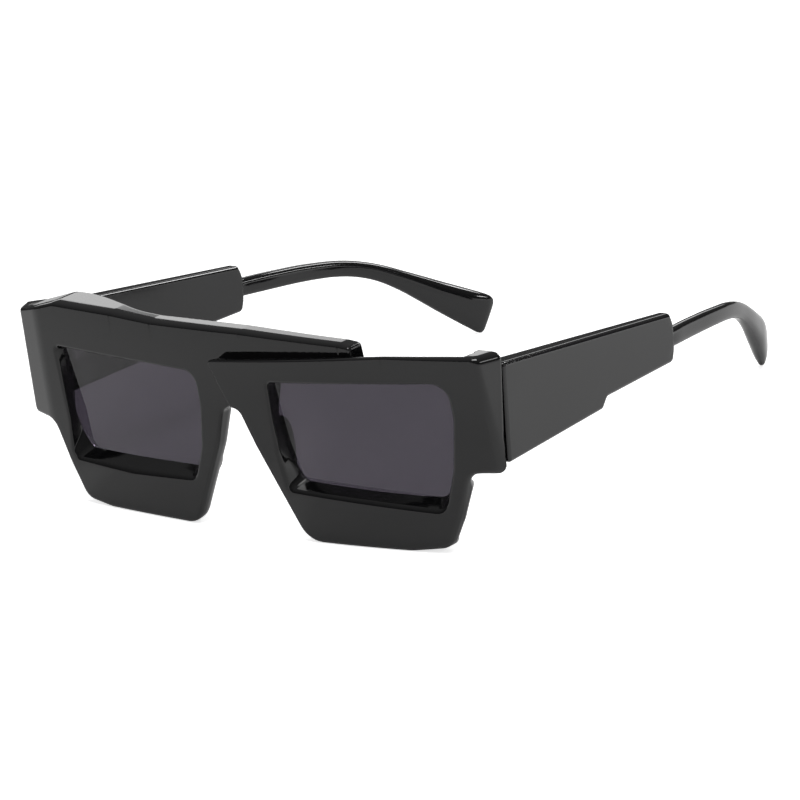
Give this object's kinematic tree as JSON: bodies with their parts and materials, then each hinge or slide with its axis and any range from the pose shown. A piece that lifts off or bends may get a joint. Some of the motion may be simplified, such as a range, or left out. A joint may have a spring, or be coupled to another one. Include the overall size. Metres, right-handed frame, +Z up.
{
  "type": "sunglasses",
  "caption": "Thick-rimmed geometric sunglasses with an overlapped two-level front, dark lenses and folding stepped temples",
  "frame": {"origin": "centre of the object's box in plan, at the level that the rims and the temple tips stand on", "axes": "+Z up, -Y out of the front, +X towards the wearer's left, which is the right-hand side as seen from the front"},
  "size_m": [0.1421, 0.155, 0.0502],
  "materials": {
    "black_plastic": "polished black injection-moulded plastic",
    "dark_lens": "polished dark grey tinted lens",
    "hinge_metal": "nickel silver, lightly brushed",
    "screw_metal": "stainless steel, turned"
  },
  "bodies": {
    "front": {"front_frame": "black_plastic", "lens_left": "dark_lens", "lens_right": "dark_lens", "hinge_front_left": "hinge_metal", "hinge_front_right": "hinge_metal", "hinge_screw_left": "screw_metal", "hinge_screw_right": "screw_metal"},
    "left_temple": {"temple_left": "black_plastic", "hinge_temple_left": "hinge_metal"},
    "right_temple": {"temple_right": "black_plastic", "hinge_temple_right": "hinge_metal"}
  },
  "joints": [
    {"name": "right_fold", "type": "hinge", "parent": "front", "child": "right_temple", "pos_m": [0.0643, -0.0618, 0.034], "axis": [0, 0, 1], "range_deg": [0, 83.25]},
    {"name": "left_fold", "type": "hinge", "parent": "front", "child": "left_temple", "pos_m": [-0.0643, -0.0618, 0.034], "axis": [0, 0, -1], "range_deg": [0, 70]}
  ]
}
